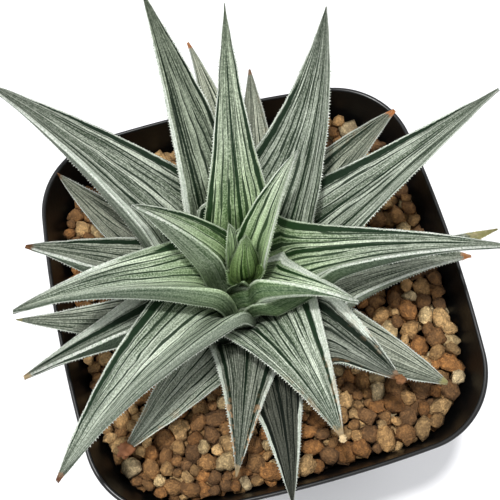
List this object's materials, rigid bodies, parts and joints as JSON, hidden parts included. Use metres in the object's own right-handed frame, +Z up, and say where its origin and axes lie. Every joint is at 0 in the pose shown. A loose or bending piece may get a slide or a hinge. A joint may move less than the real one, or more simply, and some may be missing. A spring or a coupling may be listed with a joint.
{
  "type": "potted haworthia",
  "caption": "Small rosette succulent with pointed, banded grey-green leaves, growing in granular soil in a square black plastic pot.",
  "frame": {"origin": "middle of the flat underside of the pot", "axes": "+Z up; +X and +Y square to the pot's sides, with the two nearest sides of the picture facing -Y and +X"},
  "size_m": [0.1072, 0.1009, 0.1168],
  "materials": {
    "pot": "satin black",
    "soil": "dry porous grains",
    "stem": "matt",
    "leaf": "satin, striped dark green on silvery green"
  },
  "bodies": {
    "root": {"pot": "pot", "soil": "soil", "stem_and_roots": "stem", "leaf_01": "leaf", "leaf_02": "leaf", "leaf_03": "leaf", "leaf_04": "leaf", "leaf_05": "leaf", "leaf_06": "leaf", "leaf_07": "leaf", "leaf_08": "leaf", "leaf_09": "leaf", "leaf_10": "leaf", "leaf_11": "leaf", "leaf_12": "leaf", "leaf_13": "leaf", "leaf_14": "leaf", "leaf_15": "leaf", "leaf_16": "leaf", "leaf_17": "leaf", "leaf_18": "leaf", "leaf_19": "leaf", "leaf_20": "leaf", "leaf_21": "leaf", "leaf_22": "leaf", "leaf_23": "leaf", "leaf_24": "leaf", "leaf_25": "leaf", "leaf_26": "leaf", "leaf_27": "leaf", "leaf_28": "leaf"}
  },
  "joints": []
}
